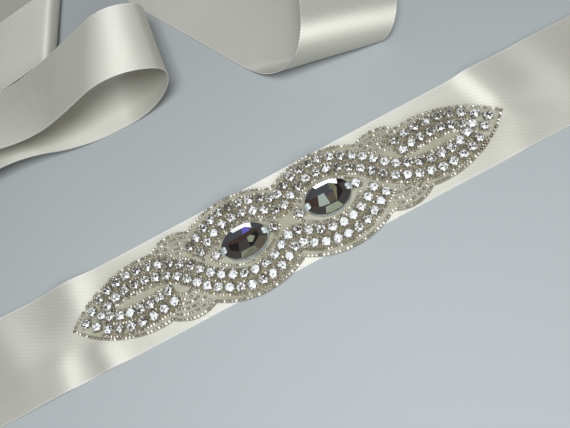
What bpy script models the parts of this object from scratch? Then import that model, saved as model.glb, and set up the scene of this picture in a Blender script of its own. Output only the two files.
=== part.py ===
"""Bridal sash: one long satin ribbon laid in loose loops, with a beaded rhinestone applique sewn to its middle.

+X runs along the applique towards its right tip, +Y away from the front stretch, +Z up. The origin is on the table,
under the middle of the applique. Sizes are in millimetres and degrees, and MM turns them into metres.
"""
import math

import bmesh
import bpy
from mathutils import Quaternion, Vector

MM = 0.001

# ---- ribbon -------------------------------------------------------------------------------------------------
RIBBON_WIDTH = 38.1
HALF_WIDTH = RIBBON_WIDTH / 2
WALL = 1.0
SEAM_GAP = 0.3
TABLE = WALL / 2            # height of the middle of a ribbon that lies on the table
STEP_ANGLE = 8.0            # turn between two rulings of a roll
RULING_SPACE = 0.5          # least distance between two rulings, at the edge where they come closest
FOLD_RADIUS = 4.5           # loose folds that lie out of the way
FOLD_EXTRA = 20.0           # a folded-over layer slopes down to the table by this much
SETTLE_LENGTH = 14.0
EASE_STEPS = 12

# stretches that are placed by themselves: where each lies flat on the table, and which way it runs there
FRONT = dict(x=0.0, y=1.15, heading=0.6)
LOOP = dict(x=-38.1, y=90.3, heading=-1.7)
FOLD = dict(x=38.3, y=62.1, heading=-63.6)
BACK = dict(x=-54.5, y=142.0, heading=-43.0)
FRONT_REACH = dict(right=138.0, left=130.0)

# ---- applique -----------------------------------------------------------------------------------------------
BACKING_BOTTOM = WALL + SEAM_GAP
BACKING_TOP = BACKING_BOTTOM + 1.1
RIM_HEIGHT = 0.8            # the line of seed beads round the outline
RIM_PROFILE = [(0.0, 0.0), (0.25, RIM_HEIGHT), (0.95, RIM_HEIGHT), (1.2, 0.0)]
RIDGE_HALF_WIDTH = 0.5      # a line of seed beads on the backing
RIDGE_HEIGHT = 0.6
SINK = 0.4                  # what is joined to a wall starts this far inside it
BAND_BOTTOM = BACKING_TOP + SEAM_GAP
BAND_TOP = BAND_BOTTOM + 0.8
BAND_HALF_WIDTH = 4.0
BAND_STEP = 3.0
ROW_OFFSET = 2.2            # each band carries two rows of rhinestones
STONE_PITCH = 4.2
STONE_SIDES = 6
STONE_RADIUS = 1.7
STONE_CUP = 0.9             # height of the cup above the band, then of the cut stone
STONE_CROWN = 0.7
STONE_TABLE = 0.6           # flat top of a rhinestone against its full width

# outline of the upper right quarter: each arc runs from the last point through `mid` to `end`
OUTLINE_START = (0.0, 14.5)
OUTLINE_ARCS = [
    dict(name="oval", mid=(17.2, 19.5), end=(34.5, 14.4), steps=8),
    dict(name="petal", mid=(42.6, 16.3), end=(50.7, 13.0), steps=5),
    dict(name="leaf crest", mid=(59.5, 13.3), end=(69.0, 11.0), steps=4),
    dict(name="leaf tip", mid=(78.5, 6.2), end=(85.4, 0.0), steps=4),
]

# middle lines of the bands on the left; the right ones are the same, turned half round
BAND_OVER = [(-69.0, 5.4), (-65.0, 6.5), (-60.0, 6.9), (-53.0, 6.4), (-47.0, 4.6), (-39.5, 0.0), (-32.5, -6.6),
             (-25.0, -11.5), (-17.0, -13.1), (-8.0, -10.8), (0.0, -6.9), (8.0, -10.8), (17.0, -13.1),
             (25.0, -11.5), (31.0, -8.0), (35.6, -4.9)]
BAND_LEAF = [(-69.0, -5.4), (-65.0, -6.5), (-60.0, -6.9), (-53.0, -6.2), (-47.2, -4.2)]
LOOSE_STONES = [(-80.2, 0.0), (-77.2, 3.5), (-77.2, -3.5), (-75.3, 0.0), (-73.4, 6.0), (-73.4, -6.0),
                (-71.8, 2.4), (-71.8, -2.4), (-28.3, 0.0), (-4.9, 0.0)]

# lines of seed beads on the bare backing of the right half, upper side: arcs from `start` through `mid` to `end`
PETAL_LINES = [
    dict(start=(36.4, 12.9), mid=(43.0, 14.0), end=(49.2, 11.6)),
    dict(start=(37.6, 11.0), mid=(43.0, 11.9), end=(48.0, 9.9)),
]
SLOT_LINE = dict(start=(53.5, 0.8), mid=(60.0, 1.4), end=(66.5, 0.8))

# ---- large crystals -----------------------------------------------------------------------------------------
EYE_X = 16.5
EYE_RING = dict(half=(10.3, 7.7), first=14.0, steps=8)     # a line of beads over and under each crystal
CRYSTAL_HALF = (9.0, 6.5)
CRYSTAL_SIDES = 16
SETTING_BOTTOM = BACKING_TOP + SEAM_GAP
SETTING_FLOOR = 0.5
SETTING_TOP = SETTING_BOTTOM + 1.2
SETTING_INNER = (7.9, 5.4)
SETTING_OUTER = (8.7, 6.2)
SETTING_SIDES = 32
CLAW_ANGLES = (17.0, 163.0, 197.0, 343.0)
CLAW_PATH = [               # each claw goes out past the girdle, up, and in over the crown: outwards, upwards
    (1.4, 0.9),
    (0.0, 0.5),
    (-0.7, 0.5),
]
CRYSTAL_BOTTOM = SETTING_BOTTOM + SETTING_FLOOR + SEAM_GAP
CRYSTAL_RINGS = [           # height above the crystal's own bottom, and size against its girdle
    dict(name="back", height=0.0, size=0.62),
    dict(name="girdle, lower", height=1.3, size=1.0),
    dict(name="girdle, upper", height=1.7, size=1.0),
    dict(name="break", height=2.7, size=0.84),
    dict(name="table", height=3.5, size=0.58),
]


# ---- small helpers ------------------------------------------------------------------------------------------
def clear_scene():
    for item in list(bpy.data.objects):
        bpy.data.objects.remove(item, do_unlink=True)


def material(name, colour, roughness, metallic=0.0):
    made = bpy.data.materials.new(name)
    made.use_nodes = True
    shader = made.node_tree.nodes["Principled BSDF"]
    shader.inputs["Base Color"].default_value = (*colour, 1.0)
    shader.inputs["Roughness"].default_value = roughness
    shader.inputs["Metallic"].default_value = metallic
    return made


def add_object(name, shape, finish, smooth_angle=35.0):
    mesh = bpy.data.meshes.new(name)
    shape.to_mesh(mesh)
    shape.free()
    mesh.shade_smooth()
    mesh.set_sharp_from_angle(angle=math.radians(smooth_angle))
    mesh.materials.append(finish)
    made = bpy.data.objects.new(name, mesh)
    bpy.context.collection.objects.link(made)
    return made


def union(target, raised):
    """Join a hidden object's bodies onto a solid."""
    raised.hide_render = True
    raised.display_type = "WIRE"
    join = target.modifiers.new("raised", "BOOLEAN")
    join.operation = "UNION"
    join.solver = "EXACT"
    join.object = raised


def skin_loops(shape, loops):
    """Closed body through loops of equal length, from the lowest to the highest, each running anticlockwise."""
    rings = [[shape.verts.new(Vector(point) * MM) for point in loop] for loop in loops]
    for lower, upper in zip(rings, rings[1:]):
        for i in range(len(lower)):
            j = (i + 1) % len(lower)
            shape.faces.new((lower[i], lower[j], upper[j], upper[i]))
    shape.faces.new(list(reversed(rings[0])))
    shape.faces.new(rings[-1])


def arc(start, mid, end, steps):
    """Points of the circle through three points, without the first."""
    (ax, ay), (bx, by), (cx, cy) = start, mid, end
    turn = 2 * (ax * (by - cy) + bx * (cy - ay) + cx * (ay - by))
    a2, b2, c2 = ax * ax + ay * ay, bx * bx + by * by, cx * cx + cy * cy
    ox = (a2 * (by - cy) + b2 * (cy - ay) + c2 * (ay - by)) / turn
    oy = (a2 * (cx - bx) + b2 * (ax - cx) + c2 * (bx - ax)) / turn
    radius = math.hypot(ax - ox, ay - oy)
    first = math.atan2(ay - oy, ax - ox)
    sweep = math.remainder(math.atan2(cy - oy, cx - ox) - first, math.tau)
    angles = [first + sweep * (k + 1) / steps for k in range(steps)]
    return [(ox + radius * math.cos(angle), oy + radius * math.sin(angle)) for angle in angles]


def smooth_curve(points, spacing):
    """Even points along a smooth curve through a few points, with the direction at each."""
    ends = [tuple(2 * a - b for a, b in zip(points[0], points[1])),
            tuple(2 * a - b for a, b in zip(points[-1], points[-2]))]
    knots = [Vector(point) for point in [ends[0], *points, ends[1]]]
    fine = []
    for p, q, r, s in zip(knots, knots[1:], knots[2:], knots[3:]):
        for k in range(20):
            t = k / 20
            fine.append(0.5 * (2 * q + (r - p) * t + (2 * p - 5 * q + 4 * r - s) * t * t
                               + (3 * q - p - 3 * r + s) * t ** 3))
    fine.append(knots[-2])
    travelled = [0.0]
    for before, after in zip(fine, fine[1:]):
        travelled.append(travelled[-1] + (after - before).length)
    count = max(2, round(travelled[-1] / spacing))
    even = []
    index = 0
    for k in range(count + 1):
        goal = travelled[-1] * k / count
        while index < len(fine) - 2 and travelled[index + 1] < goal:
            index += 1
        share = (goal - travelled[index]) / (travelled[index + 1] - travelled[index])
        even.append(fine[index].lerp(fine[index + 1], min(1.0, share)))
    directions = []
    for k in range(len(even)):
        ahead = even[min(k + 1, count)] - even[max(k - 1, 0)]
        directions.append(ahead.normalized())
    return even, directions


def turned(points):
    """The same points, turned half round about the middle of the applique."""
    return [(-x, -y) for x, y in points]


# ---- strips of ribbon ---------------------------------------------------------------------------------------
class Strip:
    """A strip of ribbon laid by runs and rolls. Its rulings are straight lines across it, left end first."""

    def __init__(self, x, y, heading, z=TABLE):
        angle = math.radians(heading)
        self.place = Vector((x, y, z))
        self.along = Vector((math.cos(angle), math.sin(angle), 0.0))
        self.across = Vector((-math.sin(angle), math.cos(angle), 0.0))
        self.rulings = []
        self.length = 0.0
        self.lean = 0.0
        self.since_mark = 1000.0
        self.fold_slant = 0.0

    def copy(self):
        other = Strip(0.0, 0.0, 0.0)
        other.place, other.along, other.across = self.place.copy(), self.along.copy(), self.across.copy()
        other.fold_slant = self.fold_slant
        return other

    def carry_on(self):
        """A new strip that starts one seam's gap past the end of this one."""
        other = self.copy()
        other.place += other.along * SEAM_GAP
        other.mark()
        return other

    def mark(self, lean=0.0):
        side = (self.across + self.along * lean) * HALF_WIDTH
        self.rulings.append((self.place + side, self.place - side))
        self.lean = lean
        self.since_mark = 0.0

    def run(self, distance):
        self.place = self.place + self.along * distance
        self.length += distance
        self.since_mark += distance
        return self

    def clear(self, lean):
        """Move on until a ruling of this lean no longer crosses the last one."""
        needed = abs(lean - self.lean) * HALF_WIDTH + RULING_SPACE
        self.run(max(0.0, needed - self.since_mark))

    def end(self):
        self.clear(0.0)
        self.mark()
        return self

    def roll(self, length, slant_start, slant_end, turn):
        """Bend over a length of the strip, about rulings whose slant changes evenly; a positive turn lifts."""
        steps = max(2, math.ceil(abs(turn) / STEP_ANGLE))
        lean_start = math.tan(math.radians(slant_start))
        lean_end = math.tan(math.radians(slant_end))
        self.clear(lean_start)
        for step in range(steps):
            lean = lean_start + (lean_end - lean_start) * (step + 0.5) / steps
            self.run(length / steps / 2)
            self.mark(lean)
            bend = Quaternion(self.along * lean + self.across, -math.radians(turn / steps))
            self.along = bend @ self.along
            self.across = bend @ self.across
            self.run(length / steps / 2)
        return self

    def side_up(self):
        return 1.0 if self.along.cross(self.across).z > 0 else -1.0

    def fold_to(self, heading):
        """Turn the strip over so that it leaves in a new direction, sloping down to the table."""
        up = self.side_up()
        now = math.degrees(math.atan2(self.along.y, self.along.x))
        slant = (now + 180.0 - heading) / 2 * up
        self.fold_slant = (slant + 90.0) % 180.0 - 90.0
        turn = 180.0 + FOLD_EXTRA
        length = FOLD_RADIUS * math.radians(turn) / math.cos(math.radians(self.fold_slant))
        return self.roll(length, self.fold_slant, self.fold_slant, up * turn)

    def settle(self):
        """Run down to the table after a fold, and lie flat on it."""
        turn = self.side_up() * FOLD_EXTRA
        trial = self.copy().roll(SETTLE_LENGTH, self.fold_slant, self.fold_slant, turn)
        drop = self.place.z - trial.place.z
        self.run((self.place.z - TABLE - drop) / -self.along.z)
        return self.roll(SETTLE_LENGTH, self.fold_slant, self.fold_slant, turn)

    def fold_onto(self, other):
        """Run as far as it takes for a fold to lay this strip on the line of another end, and fold there."""
        heading = math.degrees(math.atan2(-other.along.y, -other.along.x))
        misses = []
        for distance in (0.0, 1.0):
            away = self.copy().run(distance).fold_to(heading).place - other.place
            misses.append(away.x * other.along.y - away.y * other.along.x)
        return self.run(misses[0] / (misses[0] - misses[1])).fold_to(heading)

    def ease_to(self, place, along, across):
        """A soft curve to another middle point and its two directions."""
        start, first, side_first = self.place.copy(), self.along.copy(), self.across.copy()
        last, side_last = along.normalized(), across.normalized()
        reach = (place - start).length
        if self.since_mark > RULING_SPACE:
            self.clear(0.0)
            start = self.place.copy()
            self.mark()
        before = start
        for step in range(1, EASE_STEPS):
            t = step / EASE_STEPS
            keep = 2 * t ** 3 - 3 * t ** 2 + 1
            middle = (start * keep + place * (1 - keep) + first * reach * (t ** 3 - 2 * t ** 2 + t)
                      + last * reach * (t ** 3 - t ** 2))
            speed = ((start - place) * (6 * t * t - 6 * t) + first * reach * (3 * t * t - 4 * t + 1)
                     + last * reach * (3 * t * t - 2 * t))
            blend = side_first * keep + side_last * (1 - keep)
            self.length += (middle - before).length
            self.place, self.along = middle, speed.normalized()
            self.across = (blend - self.along * blend.dot(self.along)).normalized()
            self.mark()
            before = middle
        self.length += (place - before).length
        self.place, self.along, self.across = place.copy(), last, side_last
        self.mark()
        return self

    def ease_onto(self, other):
        """A soft curve to the end of another strip that runs the other way, with no twist."""
        side = 1.0 if self.across.dot(other.across) > 0 else -1.0
        return self.ease_to(other.place + other.along * SEAM_GAP, -other.along, other.across * side)


def joined(first, second):
    """The rulings of two strips that start from one place and run opposite ways."""
    return [(right, left) for left, right in reversed(first.rulings)] + second.rulings


def ribbon_node(name, rulings, finish):
    """A wall of even thickness on a row of rulings."""
    sheet = bmesh.new()
    rows = [(sheet.verts.new(left * MM), sheet.verts.new(right * MM)) for left, right in rulings]
    for (left, right), (next_left, next_right) in zip(rows, rows[1:]):
        sheet.faces.new((right, next_right, next_left, left))
    wall = add_object(name, sheet, finish).modifiers.new("wall", "SOLIDIFY")
    wall.thickness = WALL * MM
    wall.offset = 0.0
    wall.use_even_offset = True


def make_ribbon(finish):
    """Lay the whole ribbon, one node for each stretch, and return the length of each stretch."""
    lengths = {}

    def keep(name, *strips):
        ribbon_node(name, joined(*strips) if len(strips) == 2 else strips[0].rulings, finish)
        lengths[name] = sum(strip.length for strip in strips)

    # flat on the table, under the applique
    front_right = Strip(**FRONT).run(FRONT_REACH["right"]).end()
    front_left = Strip(FRONT["x"], FRONT["y"], FRONT["heading"] + 180.0).run(FRONT_REACH["left"]).end()
    keep("ribbon_front", front_left, front_right)

    # the standing loop behind the left half: its lower layer, the way round, and its upper layer
    loop_over = Strip(**LOOP)
    loop_over.roll(27.0, 4.9, 1.2, 54.8).roll(10.0, 1.2, -1.0, 93.4).roll(25.0, -1.0, -13.1, 50.9)
    loop_over.run(19.3).roll(40.6, -4.5, 43.8, -30.8).end()
    loop_under = Strip(LOOP["x"], LOOP["y"], LOOP["heading"] + 180.0)
    loop_under.run(24.5).roll(25.3, -41.0, -41.0, 30.0).run(1.0).roll(24.0, -41.0, -36.0, -36.0).end()
    keep("ribbon_loop", loop_under, loop_over)

    # the fold behind the right half: lower layer on the table, a roll like a cone, and upper layer
    fold_over = Strip(**FOLD).roll(18.5, 47.7, 17.8, 84.1).roll(18.4, 17.8, 19.0, 93.4).run(34.0).end()
    fold_under = Strip(FOLD["x"], FOLD["y"], FOLD["heading"] + 180.0).run(100.0).end()
    keep("ribbon_fold", fold_under, fold_over)

    # the flat roll at the far left, behind the loop, which ends the right-hand tail
    back_over = Strip(**BACK).roll(12.5, -24.0, -24.0, 176.0).run(52.0).end()
    back_under = Strip(BACK["x"], BACK["y"], BACK["heading"] + 180.0).run(48.0).end()
    keep("ribbon_tail_right_end", back_under, back_over)

    # from the right end of the front stretch, round to the upper layer of the fold
    right = front_right.carry_on().run(26.0).fold_to(112.0).settle().end()
    keep("ribbon_turn_right", right)
    keep("ribbon_return_right", right.carry_on().fold_onto(fold_over).ease_onto(fold_over))

    # from the left end of the front stretch, round to the lower layer of the loop
    left = front_left.carry_on().run(36.0).fold_to(90.0).settle().end()
    keep("ribbon_turn_left", left)
    keep("ribbon_return_left", left.carry_on().fold_onto(loop_under).ease_onto(loop_under))

    # the right-hand tail, from the lower layer of the fold to the flat roll
    far = fold_under.carry_on().run(90.0).fold_to(200.0).settle().end()
    keep("ribbon_tail_right", far)
    keep("ribbon_tail_right_return", far.carry_on().fold_onto(back_under).ease_onto(back_under))

    # the left-hand tail, from the upper layer of the loop over the left turn and down to the table
    crossing = dict(place=Vector((-182.0, 98.0, 27.0)), along=Vector((-1.0, 0.03, 0.0)),
                    across=Vector((0.03, 1.0, -0.10)))
    landing = dict(place=Vector((-278.0, 101.0, TABLE)), along=Vector((-1.0, 0.03, 0.0)),
                   across=Vector((0.03, 1.0, 0.0)))
    over = loop_over.carry_on().ease_to(**crossing).ease_to(**landing).run(12.0).end()
    keep("ribbon_tail_left", over)
    hook = over.carry_on().run(10.0).fold_to(84.0).settle().run(24.0).end()
    keep("ribbon_tail_left_turn", hook)
    keep("ribbon_tail_left_end", hook.carry_on().run(6.0).fold_to(4.0).settle().run(90.0).end())
    return lengths


# ---- applique -----------------------------------------------------------------------------------------------
def applique_outline():
    """The scalloped outline, anticlockwise, from one quarter drawn as arcs."""
    quarter = [OUTLINE_START]
    for part in OUTLINE_ARCS:
        quarter += arc(quarter[-1], part["mid"], part["end"], part["steps"])
    upper = [(-x, y) for x, y in quarter[1:]]
    lower = [(-x, -y) for x, y in reversed(quarter[:-1])]
    right = [(x, -y) for x, y in quarter[1:-1]]
    return list(reversed(quarter)) + upper + lower + right


def inset(outline, distance):
    """The outline moved inwards by the same distance all along."""
    moved = []
    for k, here in enumerate(outline):
        before, after = Vector(outline[k - 1]), Vector(outline[(k + 1) % len(outline)])
        arriving = (Vector(here) - before).normalized()
        leaving = (after - Vector(here)).normalized()
        inward = Vector((-arriving.y - leaving.y, arriving.x + leaving.x)).normalized()
        reach = distance / inward.dot(Vector((-arriving.y, arriving.x)))
        moved.append(tuple(Vector(here) + inward * reach))
    return moved


def at_height(points, height):
    return [(x, y, height) for x, y in points]


def add_stone(shape, x, y, foot, top):
    """A rhinestone in its cup: a short prism with a cut crown and a flat table."""
    loops = []
    for height, radius in ((foot, STONE_RADIUS), (top - STONE_CROWN, STONE_RADIUS), (top, STONE_RADIUS * STONE_TABLE)):
        angles = [math.tau * k / STONE_SIDES for k in range(STONE_SIDES)]
        loops.append([(x + radius * math.cos(a), y + radius * math.sin(a), height) for a in angles])
    skin_loops(shape, loops)


def add_ridge(shape, points):
    """A low rib with square ends along a line of points."""
    def section(place, direction):
        side = Vector((-direction.y, direction.x)) * RIDGE_HALF_WIDTH
        corners = [(place + side, -SINK), (place - side, -SINK), (place - side, RIDGE_HEIGHT),
                   (place + side, RIDGE_HEIGHT)]
        return [shape.verts.new(Vector((p.x, p.y, BACKING_TOP + h)) * MM) for p, h in corners]

    line = [Vector(point) for point in points]
    sections = []
    for k, place in enumerate(line):
        direction = (line[min(k + 1, len(line) - 1)] - line[max(k - 1, 0)]).normalized()
        sections.append(section(place, direction))
    for before, after in zip(sections, sections[1:]):
        for i in range(4):
            j = (i + 1) % 4
            shape.faces.new((before[i], before[j], after[j], after[i]))
    shape.faces.new(list(reversed(sections[0])))
    shape.faces.new(sections[-1])


def make_backing(finish):
    """Stiff scalloped backing with its outline of beads, bead lines and loose stones raised from its top."""
    outline = applique_outline()
    shape = bmesh.new()
    loops = [at_height(outline, BACKING_BOTTOM)]
    loops += [at_height(inset(outline, distance), BACKING_TOP + rise) for distance, rise in RIM_PROFILE]
    skin_loops(shape, loops)
    backing = add_object("applique_backing", shape, finish)

    raised = bmesh.new()
    for across in (1, -1):
        for up in (1, -1):
            for line in PETAL_LINES + [SLOT_LINE]:
                points = [line["start"]] + arc(line["start"], line["mid"], line["end"], 5)
                add_ridge(raised, [(across * x, up * y) for x, y in points])
        for x, y in LOOSE_STONES:
            add_stone(raised, across * x, y, BACKING_TOP - SINK, BAND_TOP + STONE_CUP + STONE_CROWN)
        for up in (1, -1):
            half_x, half_y = EYE_RING["half"]
            span = math.pi - 2 * math.radians(EYE_RING["first"])
            angles = [math.radians(EYE_RING["first"]) + span * k / EYE_RING["steps"]
                      for k in range(EYE_RING["steps"] + 1)]
            add_ridge(raised, [(across * EYE_X + half_x * math.cos(a), up * half_y * math.sin(a)) for a in angles])
    union(backing, add_object("raised_on_backing", raised, finish))


def make_band(name, points, finish):
    """A raised band along a smooth line, with two rows of rhinestones."""
    middle, directions = smooth_curve(points, BAND_STEP)
    shape = bmesh.new()
    sections = []
    for place, direction in zip(middle, directions):
        side = Vector((-direction.y, direction.x)) * BAND_HALF_WIDTH
        corners = [(place + side, BAND_BOTTOM), (place - side, BAND_BOTTOM), (place - side, BAND_TOP),
                   (place + side, BAND_TOP)]
        sections.append([shape.verts.new(Vector((p.x, p.y, h)) * MM) for p, h in corners])
    for before, after in zip(sections, sections[1:]):
        for i in range(4):
            j = (i + 1) % 4
            shape.faces.new((before[i], before[j], after[j], after[i]))
    shape.faces.new(list(reversed(sections[0])))
    shape.faces.new(sections[-1])
    band = add_object(name, shape, finish)

    stones = bmesh.new()
    for side in (1, -1):
        row = [p + Vector((-d.y, d.x)) * ROW_OFFSET * side for p, d in zip(middle, directions)]
        places, _ = smooth_curve([tuple(p) for p in row], STONE_PITCH)
        for before, after in zip(places, places[1:]):
            spot = (before + after) / 2
            add_stone(stones, spot.x, spot.y, BAND_TOP - SINK, BAND_TOP + STONE_CUP + STONE_CROWN)
    union(band, add_object(name + "_stones", stones, finish))


# ---- large crystals -----------------------------------------------------------------------------------------
def ellipse(centre_x, half_x, half_y, height, sides, turn=0.0):
    angles = [math.tau * (k + turn) / sides for k in range(sides)]
    return [(centre_x + half_x * math.cos(a), half_y * math.sin(a), height) for a in angles]


def make_crystal(name, centre_x, finish):
    shape = bmesh.new()
    loops = []
    for ring in CRYSTAL_RINGS:
        half_x, half_y = (half * ring["size"] for half in CRYSTAL_HALF)
        loops.append(ellipse(centre_x, half_x, half_y, CRYSTAL_BOTTOM + ring["height"], CRYSTAL_SIDES))
    skin_loops(shape, loops)
    add_object(name, shape, finish, smooth_angle=5.0)


def make_setting(name, centre_x, finish):
    """An open oval cup with four claws that hold the crystal."""
    shape = bmesh.new()
    floor = SETTING_BOTTOM + SETTING_FLOOR
    profile = [(SETTING_OUTER, SETTING_BOTTOM), (SETTING_OUTER, SETTING_TOP), (SETTING_INNER, SETTING_TOP),
               (SETTING_INNER, floor)]
    skin_loops(shape, [ellipse(centre_x, half[0], half[1], height, SETTING_SIDES) for half, height in profile])
    shape.faces.ensure_lookup_table()
    tops = [face for face in shape.faces if all(abs(v.co.z - SETTING_TOP * MM) < 1e-7 for v in face.verts)]
    for angle in CLAW_ANGLES:
        def apart(face):
            spot = face.calc_center_median() / MM
            return abs(math.remainder(math.atan2(spot.y, spot.x - centre_x) - math.radians(angle), math.tau))
        claw = min(tops, key=apart)
        tops.remove(claw)
        outward = claw.calc_center_median() - Vector((centre_x * MM, 0.0, SETTING_TOP * MM))
        outward.normalize()
        for out, up in CLAW_PATH:
            claw = bmesh.ops.extrude_discrete_faces(shape, faces=[claw])["faces"][0]
            bmesh.ops.translate(shape, verts=claw.verts, vec=(outward * out + Vector((0.0, 0.0, up))) * MM)
    add_object(name, shape, finish)


def main():
    clear_scene()
    satin = material("satin", (0.80, 0.78, 0.70), 0.35)
    interfacing = material("interfacing", (0.50, 0.47, 0.38), 0.85)
    rhinestones = material("rhinestones", (0.75, 0.76, 0.78), 0.15, 0.6)
    crystal = material("crystal", (0.10, 0.09, 0.10), 0.05)
    silver = material("silver", (0.80, 0.79, 0.76), 0.25, 1.0)

    lengths = make_ribbon(satin)
    make_backing(interfacing)
    make_band("stones_over_left", BAND_OVER, rhinestones)
    make_band("stones_over_right", turned(BAND_OVER), rhinestones)
    make_band("stones_leaf_left", BAND_LEAF, rhinestones)
    make_band("stones_leaf_right", turned(BAND_LEAF), rhinestones)
    for name, centre_x in (("left", -EYE_X), ("right", EYE_X)):
        make_setting("setting_" + name, centre_x, silver)
        make_crystal("crystal_" + name, centre_x, crystal)

    for name, length in lengths.items():
        print(f"{name}: {length:.1f} mm")
    print(f"ribbon: {sum(lengths.values()):.0f} mm in all")


main()
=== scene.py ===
# %% [markdown]
# # A bridal sash: satin ribbon, seed beads and cut glass
#
# The sash is one long length of ivory satin ribbon. It lies in loose loops on a table, and a stiff, beaded
# applique is sewn flat to its middle. This lesson dresses the plain solids of the sash: first the camera and
# the light, then the ribbon, the applique's backing, its beads and stones, and last the two large crystals.
#
# Their box is measured at once, so that it can be set against the finished sash at the end.

# %% Load the solids
import math

import bmesh
import bpy
import numpy as np
from mathutils import Matrix, Quaternion, Vector


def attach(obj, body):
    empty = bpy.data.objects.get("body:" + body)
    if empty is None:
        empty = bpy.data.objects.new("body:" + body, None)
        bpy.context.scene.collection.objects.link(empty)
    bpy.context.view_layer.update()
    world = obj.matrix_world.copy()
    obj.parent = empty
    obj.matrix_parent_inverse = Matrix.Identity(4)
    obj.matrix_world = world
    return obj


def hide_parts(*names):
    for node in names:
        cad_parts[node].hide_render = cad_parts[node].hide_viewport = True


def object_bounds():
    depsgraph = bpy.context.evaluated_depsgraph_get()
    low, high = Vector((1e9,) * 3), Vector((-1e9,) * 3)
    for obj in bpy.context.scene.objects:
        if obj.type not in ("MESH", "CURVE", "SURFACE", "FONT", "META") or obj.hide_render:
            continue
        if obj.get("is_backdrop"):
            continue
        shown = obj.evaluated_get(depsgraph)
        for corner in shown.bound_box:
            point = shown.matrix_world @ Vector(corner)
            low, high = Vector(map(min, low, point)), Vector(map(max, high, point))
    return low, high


MM = 0.001
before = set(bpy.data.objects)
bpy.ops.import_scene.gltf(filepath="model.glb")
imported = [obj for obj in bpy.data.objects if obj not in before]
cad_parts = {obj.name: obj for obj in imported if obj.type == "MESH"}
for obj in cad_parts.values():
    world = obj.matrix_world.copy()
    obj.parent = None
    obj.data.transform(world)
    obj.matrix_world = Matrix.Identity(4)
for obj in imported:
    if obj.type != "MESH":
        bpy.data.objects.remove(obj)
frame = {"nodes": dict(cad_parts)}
solid_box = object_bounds()
print("solids:", ", ".join(frame["nodes"]))


def add_object(name, data):
    made = bpy.data.objects.new(name, data)
    bpy.context.collection.objects.link(made)
    return made


# %% [markdown]
# ## Camera
#
# The sash is seen close up, from in front and high above, with the camera rolled so that the applique runs
# up to the right. A camera looks along its own -Z, so its matrix takes three columns: right, up and back.

# %% Place the camera
CAMERA_PLACE = Vector((2.05, -78.95, 182.6)) * MM
CAMERA_RIGHT = Vector((0.88727, -0.41758, -0.19592))
CAMERA_UP = Vector((0.46119, 0.81023, 0.36170))

camera_data = bpy.data.cameras.new("camera")
camera_data.lens = 35.0
camera_data.sensor_width = 36.0
camera_data.clip_start = 0.01
camera = add_object("camera", camera_data)
camera.matrix_world = Matrix.Translation(CAMERA_PLACE) @ Matrix(
    (CAMERA_RIGHT, CAMERA_UP, CAMERA_RIGHT.cross(CAMERA_UP))).transposed().to_4x4()
bpy.context.scene.camera = camera
print("camera height:", round(camera.location.z * 1000), "mm")

# %% [markdown]
# ## Light and table
#
# Satin and cut glass show what is around them. The main light is a small soft box high above, on the camera's
# side, which draws the broad, creamy bands on the satin. A weaker one lower in front fills the shade. The
# window low behind the sash is only there for its reflection: the sharp streaks on the satin and the white
# edges of the crystals. Each is an area light placed by its compass angle and height, and turned to the sash.


# %% Soft boxes, room and table
LIT_PLACE = Vector((0.0, 0.04, 0.0))        # the soft boxes are turned to this place
ROOM_COLOUR = (0.93, 0.93, 0.91, 1.0)
ROOM_STRENGTH = 0.13
TABLE_REACH = 3.0
TABLE_DROP = 0.02 * MM


def softbox(name, azimuth, elevation, distance, size, power, colour):
    light = bpy.data.lights.new(name, "AREA")
    light.shape = "RECTANGLE"
    light.size, light.size_y = size
    light.energy = power
    light.color = colour
    lamp = add_object(name, light)
    a, e = math.radians(azimuth), math.radians(elevation)
    direction = Vector((math.cos(a) * math.cos(e), math.sin(a) * math.cos(e), math.sin(e)))
    lamp.rotation_mode = "QUATERNION"
    lamp.rotation_quaternion = direction.to_track_quat("Z", "Y")
    lamp.location = direction * distance + LIT_PLACE
    return lamp


window = softbox("window", azimuth=84, elevation=30, distance=1.2, size=(0.45, 0.4), power=2.2,
                 colour=(0.90, 0.94, 1.0))
window.visible_diffuse = False
softbox("above", azimuth=-92, elevation=68, distance=0.45, size=(0.2, 0.2), power=2.2,
        colour=(0.93, 0.97, 1.0))
softbox("front", azimuth=-84, elevation=36, distance=0.5, size=(0.3, 0.2), power=0.75,
        colour=(0.95, 0.98, 1.0))

room = bpy.data.worlds.new("room")
room.use_nodes = True
backdrop = room.node_tree.nodes["Background"]
backdrop.inputs["Color"].default_value = ROOM_COLOUR
backdrop.inputs["Strength"].default_value = ROOM_STRENGTH
bpy.context.scene.world = room
bpy.context.scene.view_settings.view_transform = "Standard"

table_shape = bmesh.new()
bmesh.ops.create_grid(table_shape, x_segments=1, y_segments=1, size=TABLE_REACH)
bmesh.ops.translate(table_shape, verts=table_shape.verts, vec=(0.0, 0.0, -TABLE_DROP))
table_mesh = bpy.data.meshes.new("table")
table_shape.to_mesh(table_mesh)
table_shape.free()
table = add_object("table", table_mesh)
table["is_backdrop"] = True

# %% [markdown]
# ## Helpers for materials
#
# Every finish is a Principled shader, with its fixed numbers set on the shader's own sockets. Patterns are
# built from a few small nodes, and cloth reads them from its own flat map. One effect is used in several
# finishes: soft, uneven patches. It is a node group with a scale and a contrast, and it puts out a mask.


# %% Material helpers
def new_material(name, roughness, metallic=0.0, **sockets):
    made = bpy.data.materials.new(name)
    made.use_nodes = True
    shader = made.node_tree.nodes["Principled BSDF"]
    shader.inputs["Roughness"].default_value = roughness
    shader.inputs["Metallic"].default_value = metallic
    for socket, value in sockets.items():
        shader.inputs[socket.replace("_", " ")].default_value = value
    return made, made.node_tree, shader


def join(tree, value, socket):
    """Sets an input to a number or a colour, or links another node's output to it."""
    if isinstance(value, bpy.types.NodeSocket):
        tree.links.new(value, socket)
    else:
        socket.default_value = (*value, 1.0) if isinstance(value, tuple) else value


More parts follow.
